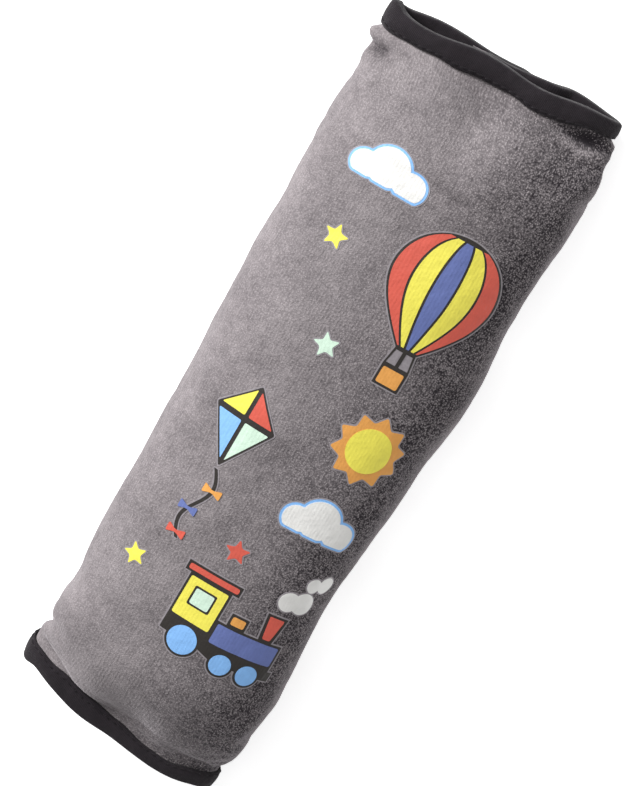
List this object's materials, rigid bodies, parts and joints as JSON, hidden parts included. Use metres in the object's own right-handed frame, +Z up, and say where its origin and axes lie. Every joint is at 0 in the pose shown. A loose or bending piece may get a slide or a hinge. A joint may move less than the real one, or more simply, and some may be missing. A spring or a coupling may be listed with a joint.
{
  "type": "seat belt shoulder pad",
  "caption": "Plump velour sleeve that wraps a seat belt, with taped ends, a hook and loop closure along its back and a printed front.",
  "frame": {"origin": "middle of the footprint, on the surface that the pad lies on", "axes": "+X runs along the sleeve to the upper end of the print, +Z points up out of the printed front, +Y points to the left of the print"},
  "size_m": [0.2989, 0.0981, 0.0492],
  "materials": {
    "velour": "short dense knitted velour pile, matt with a soft sheen at grazing angles",
    "wadding": "white polyester wadding",
    "lining_cloth": "plain black woven polyester lining, matt",
    "binding_tape": "black woven edge tape, matt with a fine rib",
    "fastener": "black nylon hook and loop strip",
    "film_charcoal": "thin transfer film, semi gloss, slightly crackled",
    "film_red": "thin transfer film, semi gloss, slightly crackled",
    "film_yellow": "thin transfer film, semi gloss, slightly crackled",
    "film_blue_violet": "thin transfer film, semi gloss, slightly crackled",
    "film_orange": "thin transfer film, semi gloss, slightly crackled",
    "film_light_blue": "thin transfer film, semi gloss, slightly crackled",
    "film_white": "thin transfer film, semi gloss, slightly crackled",
    "film_mint": "thin transfer film, semi gloss, slightly crackled"
  },
  "bodies": {
    "root": {"velour_cover": "velour", "filling": "wadding", "lining": "lining_cloth", "binding_head": "binding_tape", "binding_foot": "binding_tape", "hook_strip": "fastener", "loop_strip": "fastener", "print_balloon_backing": "film_charcoal", "print_balloon_gore_1": "film_red", "print_balloon_gore_2": "film_yellow", "print_balloon_gore_3": "film_blue_violet", "print_balloon_gore_4": "film_yellow", "print_balloon_gore_5": "film_red", "print_balloon_basket": "film_orange", "print_sun_rays": "film_orange", "print_sun_disc": "film_yellow", "print_cloud_1_edge": "film_light_blue", "print_cloud_1": "film_white", "print_cloud_2_edge": "film_light_blue", "print_cloud_2": "film_white", "print_smoke_1": "film_white", "print_smoke_2": "film_white", "print_engine_backing": "film_charcoal", "print_engine_cab": "film_yellow", "print_engine_window": "film_mint", "print_engine_roof": "film_red", "print_engine_boiler": "film_blue_violet", "print_engine_dome": "film_orange", "print_engine_chimney": "film_red", "print_engine_wheel_1": "film_light_blue", "print_engine_wheel_2": "film_light_blue", "print_engine_wheel_3": "film_light_blue", "print_kite_backing": "film_charcoal", "print_kite_quarter_1": "film_red", "print_kite_quarter_2": "film_yellow", "print_kite_quarter_3": "film_light_blue", "print_kite_quarter_4": "film_mint", "print_kite_tail": "film_charcoal", "print_kite_bow_1": "film_orange", "print_kite_bow_2": "film_blue_violet", "print_kite_bow_3": "film_red", "print_star_1": "film_yellow", "print_star_2": "film_mint", "print_star_3": "film_red", "print_star_4": "film_yellow"}
  },
  "joints": []
}
